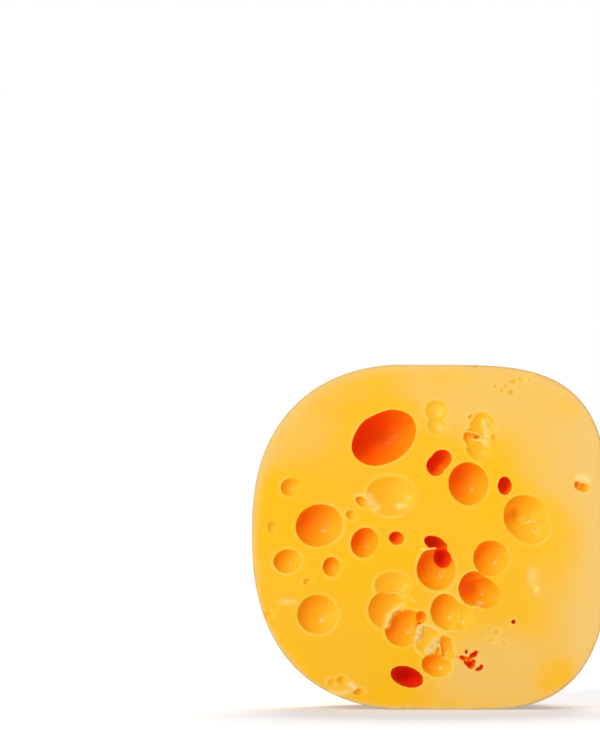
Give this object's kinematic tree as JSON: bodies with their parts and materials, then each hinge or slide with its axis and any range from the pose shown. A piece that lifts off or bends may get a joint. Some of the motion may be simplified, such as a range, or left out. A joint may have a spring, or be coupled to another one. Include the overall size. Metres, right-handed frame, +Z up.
{
  "type": "cheese wedge",
  "caption": "Wedge of holey yellow cheese cut from a wheel, its thin end trimmed round; open hollows in its cut faces.",
  "frame": {"origin": "middle of the footprint's box, on the surface the cheese stands on", "axes": "+Z up, the wheel's axis; +X from the trimmed thin end towards the curved rim; -Y out of the front cut face, which is square to Y"},
  "size_m": [0.124, 0.09, 0.12],
  "materials": {
    "cheese": "smooth, slightly waxy, satin cut cheese; glossier in the hollows"
  },
  "bodies": {
    "root": {"cheese": "cheese"}
  },
  "joints": []
}
